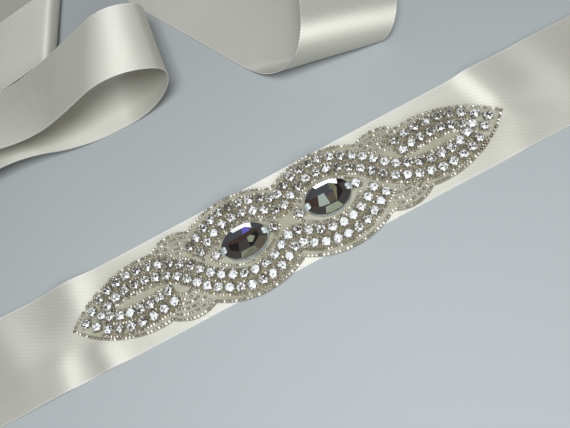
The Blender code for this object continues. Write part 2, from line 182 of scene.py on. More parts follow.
def new_node(tree, kind, **inputs):
    node = tree.nodes.new("ShaderNode" + kind)
    for name, value in inputs.items():
        join(tree, value, node.inputs[name])
    return node


def math_node(tree, operation, *values, clamp=False):
    node = new_node(tree, "Math")
    node.operation = operation
    node.use_clamp = clamp
    for socket, value in zip(node.inputs, values):
        join(tree, value, socket)
    return node.outputs[0]


def added(tree, first, *others):
    for value in others:
        first = math_node(tree, "ADD", first, value)
    return first


def scaled(tree, value, factor):
    return math_node(tree, "MULTIPLY", value, factor)


def mix_colours(tree, share, first, second):
    node = new_node(tree, "Mix")
    node.data_type = "RGBA"
    for index, value in ((0, share), (6, first), (7, second)):
        join(tree, value, node.inputs[index])
    return node.outputs[2]


def waves(tree, value, length):
    """A sine that repeats every `length`, from -1 to 1."""
    return math_node(tree, "SINE", scaled(tree, value, math.tau / length))


def paint(tree, shader, colour):
    tree.links.new(colour, shader.inputs["Base Color"])


def bump(tree, shader, height, distance):
    node = new_node(tree, "Bump", Strength=1.0, Distance=distance, Height=height)
    tree.links.new(node.outputs["Normal"], shader.inputs["Normal"])


patches = bpy.data.node_groups.new("uneven_patches", "ShaderNodeTree")
for name, way, kind in (("Place", "INPUT", "Vector"), ("Scale", "INPUT", "Float"),
                        ("Contrast", "INPUT", "Float"), ("Mask", "OUTPUT", "Float")):
    patches.interface.new_socket(name, in_out=way, socket_type="NodeSocket" + kind)
group_in = patches.nodes.new("NodeGroupInput")
group_out = patches.nodes.new("NodeGroupOutput")
noise = new_node(patches, "TexNoise", Detail=3.0, Vector=group_in.outputs["Place"],
                 Scale=group_in.outputs["Scale"])
centred = math_node(patches, "SUBTRACT", noise.outputs["Fac"], 0.5)
stretched = scaled(patches, centred, group_in.outputs["Contrast"])
patches.links.new(math_node(patches, "ADD", stretched, 0.5, clamp=True), group_out.inputs["Mask"])


def uneven(tree, place, scale, contrast):
    node = new_node(tree, "Group")
    node.node_tree = patches
    for socket, value in zip(node.inputs, (place, scale, contrast)):
        join(tree, value, socket)
    return node.outputs["Mask"]


def object_place(tree):
    return new_node(tree, "TexCoord").outputs["Object"]


def paint_patches(tree, shader, scale, contrast, first, second):
    """Paints the second colour in soft patches on the first."""
    paint(tree, shader, mix_colours(tree, uneven(tree, object_place(tree), scale, contrast), first, second))


def flat_place(tree):
    """The place on a cloth's flat map: as a vector, across it and along it."""
    flat = new_node(tree, "UVMap")
    flat.uv_map = "flat"
    split = new_node(tree, "SeparateXYZ", Vector=flat.outputs["UV"])
    return flat.outputs["UV"], split.outputs["X"], split.outputs["Y"]


table_finish, tree, shader = new_material("pale_table", 0.9)
paint_patches(tree, shader, 6.0, 1.0, (0.33, 0.348, 0.352), (0.365, 0.385, 0.39))
table_mesh.materials.append(table_finish)
print("table finish:", table_finish.name)


# %% [markdown]
# ## Helpers for pieces
#
# A finished piece's object stays at the origin, and its place is in its mesh. Small things that repeat, such
# as beads and stones, are modelled once, and their points are then copied to every place with NumPy. Each
# copy can carry a tone, a number for each face, which the finish reads to make the copies differ.


# %% Piece helpers
def add_piece(name, mesh, finish, replaced=()):
    mesh.materials.append(finish)
    piece = add_object(name, mesh)
    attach(piece, "root")
    if replaced:
        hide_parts(*replaced)
    mesh.calc_loop_triangles()
    print(f"{name}: {len(mesh.loop_triangles)} triangles")
    return piece


def mesh_of(name, shape):
    mesh = bpy.data.meshes.new(name)
    shape.to_mesh(mesh)
    shape.free()
    return mesh


APPLIQUE_Y = -0.45       # the applique is sewn on a little below the middle of its solid


def move(shape, verts, by):
    bmesh.ops.translate(shape, verts=verts, vec=by)


def lift(shape, verts, height):
    move(shape, verts, (0.0, 0.0, height))


def stretch(shape, verts, by):
    bmesh.ops.scale(shape, verts=verts, vec=by)


def turn_about(shape, verts, axis, angle):
    """Turns points of a shape about an axis through its origin."""
    bmesh.ops.rotate(shape, verts=verts, cent=(0, 0, 0), matrix=Matrix.Rotation(angle, 3, axis))


def frame_at(x, y, z, turn=0.0, tilt=0.0, tilt_turn=0.0, size=1.0):
    """Where a copy goes: its size, a turn about Z, a tilt to one side, then its place on the applique."""
    return (Matrix.Translation((x, y + APPLIQUE_Y, z)) @ Matrix.Rotation(tilt_turn, 4, "Z")
            @ Matrix.Rotation(tilt, 4, "Y") @ Matrix.Rotation(turn - tilt_turn, 4, "Z")
            @ Matrix.Scale(size, 4))


def copies(name, unit, places, tones=None):
    """One mesh with a copy of `unit`, a bmesh in millimetres, at every place."""
    points = np.array([[*vert.co, 1.0] for vert in unit.verts])
    corners = [[vert.index for vert in face.verts] for face in unit.faces]
    moved = np.einsum("kij,nj->kni", np.array(places), points)[:, :, :3].reshape(-1, 3) * MM
    faces = [[corner + k * len(points) for corner in face] for k in range(len(places)) for face in corners]
    mesh = bpy.data.meshes.new(name)
    mesh.from_pydata(moved.tolist(), [], faces)
    if tones is not None:
        layer = mesh.attributes.new("tone", "FLOAT", "FACE")
        layer.data.foreach_set("value", np.asarray(tones, dtype=np.float32).ravel())
    unit.free()
    return mesh


def write_flat_map(faces, flat_map, spots):
    """Makes faces smooth, and gives their corners the places of their points on the flat cloth."""
    for face in faces:
        face.smooth = True
        for loop in face.loops:
            loop[flat_map].uv = spots[loop.vert.index]


# %% [markdown]
# ## The ribbon, cut flat
#
# A ribbon bends but hardly stretches, so wherever it curves there is a straight line across it that stays
# straight. Laying it is then a matter of where those lines go. `Strip` starts at a point on the table with a
# heading and moves on by runs, which are flat, and by rolls, which bend it about lines that may lie slanted.
# The slant can change through a roll, which gives the cone-like turn of a ribbon that flips over at an angle.
# Where a free curve follows a fold, the slant fades along it, so that the lines don't cross. Every line
# remembers how far along the flat ribbon its two ends lie, so the weave can follow the cloth.

# %% Lay a strip by runs and rolls
RIBBON_WIDTH = 38.1
HALF_WIDTH = RIBBON_WIDTH / 2
SOLID_WALL = 1.0
SEAM_GAP = 0.3
TABLE = SOLID_WALL / 2      # height of the middle of a stretch that lies on the table
STEP_ANGLE = 4.0
LINE_SPACE = 0.5            # least distance between two lines, at the edge where they come closest
FOLD_RADIUS = 4.5
FOLD_EXTRA = 20.0           # a folded-over layer slopes down to the table by this many degrees
SETTLE_LENGTH = 14.0
EASE_STEPS = 24
LEAN_GONE = 0.7             # after a fold, the lines have turned square again by this share of the way


class Strip:
    def __init__(self, x, y, heading):
        angle = math.radians(heading)
        self.place = Vector((x, y, TABLE))
        self.along = Vector((math.cos(angle), math.sin(angle), 0.0))
        self.across = Vector((-math.sin(angle), math.cos(angle), 0.0))
        self.lines = []
        self.length = 0.0
        self.lean = 0.0
        self.since_mark = math.inf
        self.fold_slant = 0.0

    def copy(self):
        other = Strip(0.0, 0.0, 0.0)
        other.place, other.along, other.across = self.place.copy(), self.along.copy(), self.across.copy()
        other.fold_slant = self.fold_slant
        return other

    def carry_on(self):
        other = self.copy()
        other.place += other.along * SEAM_GAP
        other.mark()
        return other

    def mark(self, lean=0.0):
        side = (self.across + self.along * lean) * HALF_WIDTH
        shift = lean * HALF_WIDTH
        self.lines.append((self.place + side, self.place - side, self.length + shift, self.length - shift))
        self.lean = lean
        self.since_mark = 0.0

    def run(self, distance):
        self.place = self.place + self.along * distance
        self.length += distance
        self.since_mark += distance
        return self

    def clear(self, lean):
        needed = abs(lean - self.lean) * HALF_WIDTH + LINE_SPACE
        self.run(max(0.0, needed - self.since_mark))

    def end(self):
        self.clear(0.0)
        self.mark()
        return self

    def roll(self, length, slant_start, slant_end, turn):
        steps = max(2, math.ceil(abs(turn) / STEP_ANGLE))
        lean_start = math.tan(math.radians(slant_start))
        lean_end = math.tan(math.radians(slant_end))
        self.clear(lean_start)
        for step in range(steps):
            lean = lean_start + (lean_end - lean_start) * (step + 0.5) / steps
            self.run(length / steps / 2)
            self.mark(lean)
            bend = Quaternion(self.along * lean + self.across, -math.radians(turn / steps))
            self.along = bend @ self.along
            self.across = bend @ self.across
            self.run(length / steps / 2)
        return self

    def side_up(self):
        return 1.0 if self.along.cross(self.across).z > 0 else -1.0

    def fold_to(self, heading):
        up = self.side_up()
        now = math.degrees(math.atan2(self.along.y, self.along.x))
        slant = (now + 180.0 - heading) / 2 * up
        self.fold_slant = (slant + 90.0) % 180.0 - 90.0
        turn = 180.0 + FOLD_EXTRA
        length = FOLD_RADIUS * math.radians(turn) / math.cos(math.radians(self.fold_slant))
        return self.roll(length, self.fold_slant, self.fold_slant, up * turn)

    def settle(self):
        turn = self.side_up() * FOLD_EXTRA
        trial = self.copy().roll(SETTLE_LENGTH, self.fold_slant, self.fold_slant, turn)
        drop = self.place.z - trial.place.z
        self.run((self.place.z - TABLE - drop) / -self.along.z)
        return self.roll(SETTLE_LENGTH, self.fold_slant, self.fold_slant, turn)

    def fold_onto(self, other):
        heading = math.degrees(math.atan2(-other.along.y, -other.along.x))
        misses = []
        for distance in (0.0, 1.0):
            away = self.copy().run(distance).fold_to(heading).place - other.place
            misses.append(away.x * other.along.y - away.y * other.along.x)
        return self.run(misses[0] / (misses[0] - misses[1])).fold_to(heading)

    def ease_to(self, place, along, across):
        start, first, side_first = self.place.copy(), self.along.copy(), self.across.copy()
        last, side_last = along.normalized(), across.normalized()
        reach = (place - start).length
        lean = self.lean
        if self.since_mark > LINE_SPACE:
            self.clear(0.0)
            start = self.place.copy()
            self.mark()
            lean = 0.0
        before = start
        for step in range(1, EASE_STEPS):
            t = step / EASE_STEPS
            keep = 2 * t ** 3 - 3 * t ** 2 + 1
            middle = (start * keep + place * (1 - keep) + first * reach * (t ** 3 - 2 * t ** 2 + t)
                      + last * reach * (t ** 3 - t ** 2))
            speed = ((start - place) * (6 * t * t - 6 * t) + first * reach * (3 * t * t - 4 * t + 1)
                     + last * reach * (3 * t * t - 2 * t))
            blend = side_first * keep + side_last * (1 - keep)
            self.length += (middle - before).length
            self.place, self.along = middle, speed.normalized()
            self.across = (blend - self.along * blend.dot(self.along)).normalized()
            self.mark(lean * max(0.0, 1.0 - t / LEAN_GONE))
            before = middle
        self.length += (place - before).length
        self.place, self.along, self.across = place.copy(), last, side_last
        self.mark()
        return self

    def ease_onto(self, other):
        side = 1.0 if self.across.dot(other.across) > 0 else -1.0
        return self.ease_to(other.place + other.along * SEAM_GAP, -other.along, other.across * side)


# %% [markdown]
# The sash is laid in stretches. Four of them start where the ribbon is known to lie: the front under the
# applique, the standing loop behind it, the cone-like fold on the right, and the roll at the end of one tail,
# which slopes a little down to the table. The others join those up, with folds out to the sides.

# %% Lay the whole sash
def both_ways(x, y, heading):
    """Two strips that start at one place and go opposite ways."""
    return Strip(x, y, heading), Strip(x, y, heading + 180.0)


front_right, front_left = both_ways(0.0, 1.15, 0.6)
front_right.run(138.0).end()
front_left.run(130.0).end()

loop_over, loop_under = both_ways(-38.1, 90.3, -1.7)
loop_over.roll(27.0, 4.9, 1.2, 54.8).roll(10.0, 1.2, -1.0, 93.4).roll(25.0, -1.0, -13.1, 50.9)
loop_over.run(19.3).roll(40.6, -4.5, 43.8, -30.8).end()
loop_under.run(24.5).roll(25.3, -41.0, -41.0, 30.0).run(1.0).roll(24.0, -41.0, -36.0, -36.0).end()

fold_over, fold_under = both_ways(38.3, 62.1, -63.6)
fold_over.roll(18.5, 47.7, 17.8, 84.1).roll(18.4, 17.8, 19.0, 93.4).run(34.0).end()
fold_under.run(100.0).end()

back_over, back_under = both_ways(-54.5, 142.0, -43.0)
back_over.roll(12.5, -24.0, -24.0, 185.0).run(52.0).end()
back_under.run(48.0).end()

turn_right = front_right.carry_on().run(26.0).fold_to(112.0).settle().end()
return_right = turn_right.carry_on().fold_onto(fold_over).ease_onto(fold_over)
turn_left = front_left.carry_on().run(36.0).fold_to(90.0).settle().end()
return_left = turn_left.carry_on().fold_onto(loop_under).ease_onto(loop_under)

tail_right = fold_under.carry_on().run(90.0).fold_to(200.0).settle().end()
tail_right_return = tail_right.carry_on().fold_onto(back_under).ease_onto(back_under)

tail_left = loop_over.carry_on()
tail_left.ease_to(Vector((-182.0, 98.0, 27.0)), Vector((-1.0, 0.03, 0.0)), Vector((0.03, 1.0, -0.10)))
tail_left.ease_to(Vector((-278.0, 101.0, TABLE)), Vector((-1.0, 0.03, 0.0)), Vector((0.03, 1.0, 0.0)))
tail_left.run(12.0).end()
tail_left_turn = tail_left.carry_on().run(10.0).fold_to(84.0).settle().run(24.0).end()
tail_left_end = tail_left_turn.carry_on().run(6.0).fold_to(4.0).settle().run(90.0).end()

# every stretch from the left tail to the right one, and whether it was laid the other way
ORDER = [(tail_left_end, True), (tail_left_turn, True), (tail_left, True), (loop_over, True),
         (loop_under, False), (return_left, True), (turn_left, True), (front_left, True),
         (front_right, False), (turn_right, False), (return_right, False), (fold_over, True),
         (fold_under, False), (tail_right, False), (tail_right_return, False), (back_under, True),
         (back_over, False)]


def swapped(laid):
    """The same lines with their two ends exchanged."""
    return [(right, left, at_right, at_left) for left, right, at_left, at_right in laid]


def further(laid, distance):
    """The same lines, lying further along the flat ribbon."""
    return [(left, right, at_left + distance, at_right + distance) for left, right, at_left, at_right in laid]


lines = []
travelled = 0.0
for strip, backwards in ORDER:
    laid = strip.lines
    if backwards:
        laid = [(left, right, strip.length - at_left, strip.length - at_right)
                for left, right, at_left, at_right in reversed(laid)]
    if lines:
        straight = (laid[0][0] - lines[-1][0]).length + (laid[0][1] - lines[-1][1]).length
        crossed = (laid[0][1] - lines[-1][0]).length + (laid[0][0] - lines[-1][1]).length
        if crossed < straight:
            laid = swapped(laid)
    if strip is front_right:
        middle_at = travelled
        swap_sides = laid[-1][0].y < laid[-1][1].y
    lines += further(laid, travelled)
    travelled += strip.length + SEAM_GAP
lines = further(swapped(lines) if swap_sides else lines, -middle_at)

# %% [markdown]
# ## Creases and waves
#
# Thin satin is never quite flat. Where the stiff applique ends, the ribbon puckers: a soft ridge runs from
# each tip to the selvedge. The table below lists the creases by their ends on the flat ribbon (`along` from
# the middle of the applique, `across` from the middle of the ribbon, in millimetres), with a height, and
# how far its two sides slope away from the crest. A few slow waves are added to them.

# %% Creases in the satin
CREASES = [     # start, end, width to the left and to the right, height
    ((-83.8, 21.0), (-83.0, 4.0), (9.0, 7.0), 1.7),
    ((-94.5, -7.0), (-95.0, -20.0), (9.0, 5.0), 1.1),
    ((-79.5, -9.0), (-77.0, -20.0), (4.0, 6.0), 1.1),
    ((-117.0, 20.0), (-106.0, -12.0), (9.0, 8.0), 1.0),
    ((84.0, 20.0), (87.6, 2.0), (4.2, 12.0), 1.5),
    ((91.0, -6.0), (84.0, -20.0), (6.0, 9.0), 0.5),
    ((110.0, 20.0), (118.0, -20.0), (9.0, 12.0), 0.9),
]
WAVES = [       # length, lean, height, shift
    (47.0, 0.35, 0.10, 0.4), (29.0, -0.6, 0.05, 2.1), (83.0, 0.15, 0.14, 4.0),
]
PRESSED = 84.0      # the applique holds the ribbon flat this far on either side of the middle


def soft_step(value, low, high):
    t = min(1.0, max(0.0, (value - low) / (high - low)))
    return t * t * (3 - 2 * t)


def crease_height(along, across):
    """How far the satin stands off its smooth form at a place on the flat ribbon."""
    place = Vector((along, across))
    height = 0.0
    for start, end, widths, crest in CREASES:
        line = Vector(end) - Vector(start)
        reach = place - Vector(start)
        share = reach.dot(line) / line.length_squared
        away = reach - line * share
        width = widths[0 if away.x < 0 else 1]
        if away.length > 3 * width:
            continue
        fade = soft_step(share, -0.35, 0.15) * soft_step(1.0 - share, -0.35, 0.15)
        height += crest * fade * math.exp(-(away.length / width) ** 2)
    loose = soft_step(abs(along), PRESSED - 14.0, PRESSED + 14.0)
    for length, lean, crest, shift in WAVES:
        phase = math.tau * (along + lean * across) / length + shift
        height += loose * crest * (1.0 + math.sin(phase))
    return height


# %% [markdown]
# The ribbon starts as a flat grid, 16 squares wide, with a row for every line across it and more rows
# between lines that lie far apart. Its UV map is the flat ribbon itself, in metres. Then every point is
# carried to its place between the two ends of its line, and lifted by the creases. A Solidify modifier
# gives the cloth its thickness last.

# %% Cut the ribbon and lay it
CLOTH = 0.25
SQUARES_ACROSS = 16
ROW_SPACE = 2.0
LOWERED = 0.35      # the cloth is thinner than its solid, so it lies this much lower
STEEP = 0.35        # where the cloth's normal rises less than this, the creases fade

rows = [lines[0]]
for before, after in zip(lines, lines[1:]):
    widest = max((after[0] - before[0]).length, (after[1] - before[1]).length)
    between = max(1, math.ceil(widest / ROW_SPACE))
    for k in range(1, between + 1):
        t = k / between
        rows.append((before[0].lerp(after[0], t), before[1].lerp(after[1], t),
                     before[2] + (after[2] - before[2]) * t, before[3] + (after[3] - before[3]) * t))

grid = bmesh.new()
bmesh.ops.create_grid(grid, x_segments=SQUARES_ACROSS, y_segments=len(rows) - 1, size=0.5)
flat_map = grid.loops.layers.uv.new("flat")
outwards = []       # which way creases lift the cloth: off the table, and not at all where it stands upright
for k, row in enumerate(rows):
    low, high = rows[max(k - 1, 0)], rows[min(k + 1, len(rows) - 1)]
    forward = (high[0] + high[1]) - (low[0] + low[1])
    normal = forward.cross(row[0] - row[1]).normalized()
    outwards.append(normal * max(-1.0, min(1.0, normal.z / STEEP)))

spots = {}
for vert in grid.verts:
    k = round((vert.co.y + 0.5) * (len(rows) - 1))
    share = vert.co.x + 0.5
    left, right, at_left, at_right = rows[k]
    along = at_left + (at_right - at_left) * share
    across = (0.5 - share) * RIBBON_WIDTH
    spots[vert.index] = (across * MM, along * MM)
    place = left.lerp(right, share) + outwards[k] * crease_height(along, across)
    vert.co = (place - Vector((0.0, 0.0, LOWERED))) * MM
write_flat_map(grid.faces, flat_map, spots)
for edge in grid.edges:
    edge.smooth = not edge.is_boundary      # keeps the thin side faces from rounding the shading

ribbon_mesh = mesh_of("ribbon", grid)
print(f"ribbon: {len(rows)} rows, lowest point {min(v.co.z for v in ribbon_mesh.vertices) * 1000:.2f} mm")

# %% [markdown]
# ## Satin
#
# In satin the threads along the ribbon lie on top for long stretches. They shine as a bundle of fine rods
# does, in bands that run across the ribbon, so the shader is anisotropic, with its tangent across the flat
# map. Fine waves in the bump are the threads and the picks that cross them, slanting lines show where the
# long threads are tied down, and at each selvedge the turned-back picks make a small comb.

# %% Satin finish
PICK = 0.52 * MM
END = 0.27 * MM
TIE = 1.34 * MM
COMB = 0.76 * MM
SELVEDGE = 0.8 * MM

satin, tree, shader = new_material("ivory_satin", 0.66, 0.5, Anisotropic=0.7, IOR=2.2,
                                   Coat_Weight=0.35, Coat_Roughness=0.26)
flat, across, along = flat_place(tree)
tangent = new_node(tree, "Tangent")
tangent.direction_type = "UV_MAP"
tangent.uv_map = "flat"
tree.links.new(tangent.outputs[0], shader.inputs["Tangent"])

picks = waves(tree, along, PICK)
ends = waves(tree, across, END)
slanting = added(tree, scaled(tree, along, 0.426), scaled(tree, across, 0.905))
ties = scaled(tree, waves(tree, slanting, TIE), uneven(tree, flat, 22.0, 2.0))
selvedge = math_node(tree, "GREATER_THAN", math_node(tree, "ABSOLUTE", across), HALF_WIDTH * MM - SELVEDGE)
teeth = math_node(tree, "MULTIPLY_ADD", waves(tree, along, COMB), 1.5, 0.5, clamp=True)

weave = added(tree, scaled(tree, picks, 0.25), scaled(tree, ends, 0.15), scaled(tree, ties, 0.6),
              scaled(tree, selvedge, teeth))
bump(tree, shader, weave, 0.02 * MM)

soft = uneven(tree, flat, 30.0, 1.6)
shade = added(tree, scaled(tree, soft, 0.35), scaled(tree, ties, 0.30))
shade = math_node(tree, "ADD", shade, 0.3, clamp=True)
cloth = mix_colours(tree, shade, (0.65, 0.64, 0.57), (0.545, 0.525, 0.445))
edge = mix_colours(tree, teeth, (0.42, 0.40, 0.34), (0.85, 0.84, 0.80))
paint(tree, shader, mix_colours(tree, selvedge, cloth, edge))

RIBBON_NODES = [name for name in frame["nodes"] if name.startswith("ribbon_")]
ribbon = add_piece("satin_ribbon", ribbon_mesh, satin, RIBBON_NODES)
wall = ribbon.modifiers.new("cloth", "SOLIDIFY")
wall.thickness = CLOTH * MM
wall.offset = 0.0

# %% [markdown]
# ## The applique's backing
#
# The applique is built on a stiff, beige interfacing with a scalloped edge: a pointed leaf, a small petal
# and an oval, then the same again the other way. One quarter of the outline is drawn as four arcs, each
# through three points, and mirrored. The filled outline is extruded to a board, and its upper edge gets a
# narrow bevel.

# %% Backing
BOARD_BOTTOM = 0.45
BOARD_TOP = 2.2
BOARD_BEVEL = 0.3 * MM
OUTLINE_START = (0.0, 14.5)
OUTLINE_ARCS = [        # a point on the arc, its end, and its steps
    ((17.2, 19.5), (34.5, 14.4), 24),       # oval
    ((42.6, 16.3), (50.7, 13.0), 12),       # petal
    ((59.5, 13.3), (69.0, 11.0), 12),       # crest of the leaf
    ((78.5, 6.2), (85.4, 0.0), 12),         # tip of the leaf
]


def arc(start, mid, end, steps):
    """Points of the circle through three points, without the first."""
    (ax, ay), (bx, by), (cx, cy) = start, mid, end
    turn = 2 * (ax * (by - cy) + bx * (cy - ay) + cx * (ay - by))
    a2, b2, c2 = ax * ax + ay * ay, bx * bx + by * by, cx * cx + cy * cy
    ox = (a2 * (by - cy) + b2 * (cy - ay) + c2 * (ay - by)) / turn
    oy = (a2 * (cx - bx) + b2 * (ax - cx) + c2 * (bx - ax)) / turn
    radius = math.hypot(ax - ox, ay - oy)
    first = math.atan2(ay - oy, ax - ox)
    sweep = math.remainder(math.atan2(cy - oy, cx - ox) - first, math.tau)
    angles = [first + sweep * (k + 1) / steps for k in range(steps)]
    return [(ox + radius * math.cos(angle), oy + radius * math.sin(angle)) for angle in angles]


quarter = [OUTLINE_START]
for mid, end, steps in OUTLINE_ARCS:
    quarter += arc(quarter[-1], mid, end, steps)
outline = (list(reversed(quarter)) + [(-x, y) for x, y in quarter[1:]]
           + [(-x, -y) for x, y in reversed(quarter[:-1])] + [(x, -y) for x, y in quarter[1:-1]])

board = bmesh.new()
corners = [board.verts.new((x * MM, (y + APPLIQUE_Y) * MM, BOARD_BOTTOM * MM)) for x, y in outline]
underside = board.faces.new(corners)
raised = bmesh.ops.extrude_face_region(board, geom=[underside])["geom"]
top_verts = [item for item in raised if isinstance(item, bmesh.types.BMVert)]
lift(board, top_verts, (BOARD_TOP - BOARD_BOTTOM) * MM)
bmesh.ops.recalc_face_normals(board, faces=board.faces)
top_edges = [edge for edge in board.edges if all(vert in top_verts for vert in edge.verts)]
bmesh.ops.bevel(board, geom=top_edges, offset=BOARD_BEVEL, affect="EDGES", segments=2, profile=0.5,
                material=-1)

interfacing, tree, shader = new_material("beige_interfacing", 0.85)
place = object_place(tree)
fibres = uneven(tree, place, 900.0, 2.0)
blotches = uneven(tree, place, 110.0, 2.2)
felt = mix_colours(tree, blotches, (0.29, 0.275, 0.20), (0.43, 0.42, 0.335))
paint(tree, shader, mix_colours(tree, scaled(tree, fibres, 0.35), felt, (0.20, 0.18, 0.12)))
bump(tree, shader, fibres, 0.12 * MM)
add_piece("applique_board", mesh_of("applique_board", board), interfacing, ["applique_backing"])

# %% [markdown]
# ## Lines for beads and stones
#
# Two strands of stones wind round the ovals and cross over each other between the oval and the leaf. Each
# strand has a smooth middle line through a few points, and everything on it is set out from that line: two
# rows of stones, and lines of seed beads down the middle and along both sides. The right half is the left
# one turned half round.

# %% Middle lines of the strands
STRAND_OVER = [
    (-73.4, 3.2), (-71.0, 4.5), (-67.2, 6.0), (-62.7, 7.0), (-58.7, 7.3), (-54.2, 6.9), (-49.5, 5.7),
    (-44.8, 3.6), (-41.2, 1.4), (-38.0, -1.6), (-35.1, -4.9), (-31.8, -7.7), (-27.8, -10.2), (-23.3, -12.5),
    (-19.6, -13.5), (-15.7, -13.6), (-11.1, -12.9), (-7.1, -11.4), (-3.3, -9.2), (0.0, -6.9), (4.0, -9.2),
    (7.8, -11.4), (12.0, -12.4), (16.3, -13.1), (20.8, -12.6), (25.2, -11.3), (29.1, -9.1), (33.0, -6.9),
    (35.6, -4.9),
]
STRAND_LEAF = [
    (-73.6, -2.7), (-71.5, -3.9), (-67.7, -5.7), (-63.5, -6.6), (-59.5, -7.0), (-55.0, -6.8), (-50.4, -6.2),
    (-45.8, -5.2),
]


def turned(points):
    return [(-x, -y) for x, y in points]


STRANDS = dict(over_left=STRAND_OVER, over_right=turned(STRAND_OVER),
               leaf_left=STRAND_LEAF, leaf_right=turned(STRAND_LEAF))


def smooth_curve(points, spacing):
    """Even points along a smooth curve through a few points, with the direction at each."""
    points = [Vector(point) for point in points]
    knots = [points[0] * 2 - points[1], *points, points[-1] * 2 - points[-2]]
    fine = []
    for p, q, r, s in zip(knots, knots[1:], knots[2:], knots[3:]):
        for k in range(20):
            t = k / 20
            fine.append(0.5 * (2 * q + (r - p) * t + (2 * p - 5 * q + 4 * r - s) * t * t
                               + (3 * q - p - 3 * r + s) * t ** 3))
    fine.append(points[-1])
    return even_points(fine, spacing)


def even_points(fine, spacing):
    """Points the same distance apart along a line of close points, with the direction at each."""
    gone = [0.0]
    for before, after in zip(fine, fine[1:]):
        gone.append(gone[-1] + (after - before).length)
    count = max(2, round(gone[-1] / spacing))
    even = []
    index = 0
    for k in range(count + 1):
        goal = gone[-1] * k / count
        while index < len(fine) - 2 and gone[index + 1] < goal:
            index += 1
        share = (goal - gone[index]) / (gone[index + 1] - gone[index])
        even.append(fine[index].lerp(fine[index + 1], share))
    directions = [(even[min(k + 1, count)] - even[max(k - 1, 0)]).normalized() for k in range(count + 1)]
    return even, directions


def beside(points, offset):
    """The same smooth line, moved to its left by an offset."""
    middle, directions = smooth_curve(points, 1.0)
    return [place + Vector((-way.y, way.x)) * offset for place, way in zip(middle, directions)]


for name, points in STRANDS.items():
    middle, _ = smooth_curve(points, 1.0)
    print(f"strand {name}: {len(middle) - 1} mm")

# %% [markdown]
# ## The stitched bed
#
# Under each strand the interfacing is covered with close stitches of an olive-gold thread, and its dark
# colour
# is partly painted shade: it makes the ground between the stones darker than the bare felt beside them, as
# the stones and beads shade it. The bed is a long grid, two squares wide, laid along the strand's middle
# line. Its stitches are fine waves along that line, so it needs a flat map.

# %% Stitched bed
BED_HALF_WIDTH = 4.7
BED_HEIGHT = 0.12       # in the middle
BED_EDGE = 0.02
STITCH = 0.45 * MM


def bed_mesh():
    shape = bmesh.new()
    bed_map = shape.loops.layers.uv.new("flat")
    for points in STRANDS.values():
        middle, ways = smooth_curve(points, 1.0)
        grid = bmesh.ops.create_grid(shape, x_segments=2, y_segments=len(middle) - 1, size=0.5)["verts"]
        flat_spots = {}
        for vert in grid:
            k = round((vert.co.y + 0.5) * (len(middle) - 1))
            offset = 2 * vert.co.x * BED_HALF_WIDTH
            place = middle[k] + Vector((ways[k].y, -ways[k].x)) * offset
            rise = BED_HEIGHT if abs(offset) < 0.1 else BED_EDGE
            flat_spots[vert.index] = (offset * MM, k * MM)
            vert.co = Vector((place.x, place.y + APPLIQUE_Y, BOARD_TOP + rise)) * MM
        write_flat_map({face for vert in grid for face in vert.link_faces}, bed_map, flat_spots)
    bmesh.ops.recalc_face_normals(shape, faces=shape.faces)
    return mesh_of("stitched_bed", shape)


# The thread's dark colours are partly painted shade between the stones.
thread, tree, shader = new_material("olive_thread_and_painted_shade", 0.55)
_, _, along = flat_place(tree)
stitches = waves(tree, along, STITCH)
worn_thread = uneven(tree, object_place(tree), 160.0, 2.2)
shade = math_node(tree, "MULTIPLY_ADD", stitches, 0.25, worn_thread, clamp=True)
paint(tree, shader, mix_colours(tree, shade, (0.40, 0.36, 0.25), (0.19, 0.16, 0.095)))
bump(tree, shader, stitches, 0.08 * MM)
add_piece("stitched_bed", bed_mesh(), thread)

# %% [markdown]
# ## Rhinestones
#
# Each stone is about 3.8 mm across. It sits in a silver cup whose four claws are bent over its edge. The
# stone is an eight-sided girdle with two tiers of small facets: a ring of corners is inset, turned by half
# a step and raised, so that the faces between the rings become the kites and stars of a cut stone. Sewn by
# hand, no stone is quite level or turned like its neighbour, which is why they flash one by one.

# %% One stone and one cup
STONE_RADIUS = 1.92
STONE_BACK = 0.85           # size of the back, as a share of the girdle
STONE_SIDES = 8
GIRDLE_HEIGHT = 0.45
STONE_TIERS = [(0.74, 1.0), (0.46, 1.25)]       # size and height of the crown's ring and of the table
CUP_RADIUS = 1.9
CUP_FOOT_SIZE = 0.8
CUP_SIDES = 10
CUP_HEIGHT = 1.3
CLAWS = 4
CLAW = dict(low=0.36, high=0.2, length=1.3, bend=-35.0, inset=0.1, lift=0.2)


def stone_unit():
    shape = bmesh.new()
    bmesh.ops.create_cone(shape, cap_ends=True, segments=STONE_SIDES, radius1=STONE_RADIUS * STONE_BACK,
                          radius2=STONE_RADIUS, depth=GIRDLE_HEIGHT)
    lift(shape, shape.verts, GIRDLE_HEIGHT / 2)
    top = max(shape.faces, key=lambda face: face.calc_center_median().z)
    for size, height in STONE_TIERS:
        before = set(shape.faces)
        bmesh.ops.inset_region(shape, faces=[top], thickness=0.1, use_even_offset=True)
        ring = list(top.verts)
        grow = STONE_RADIUS * size / ring[0].co.xy.length
        stretch(shape, ring, (grow, grow, 1.0))
        turn_about(shape, ring, "Z", math.pi / STONE_SIDES)
        lift(shape, ring, height - ring[0].co.z)
        tier = [face for face in shape.faces if face not in before and face != top]
        bmesh.ops.triangulate(shape, faces=tier)
    bmesh.ops.poke(shape, faces=[top])
    shape.verts.index_update()
    return shape


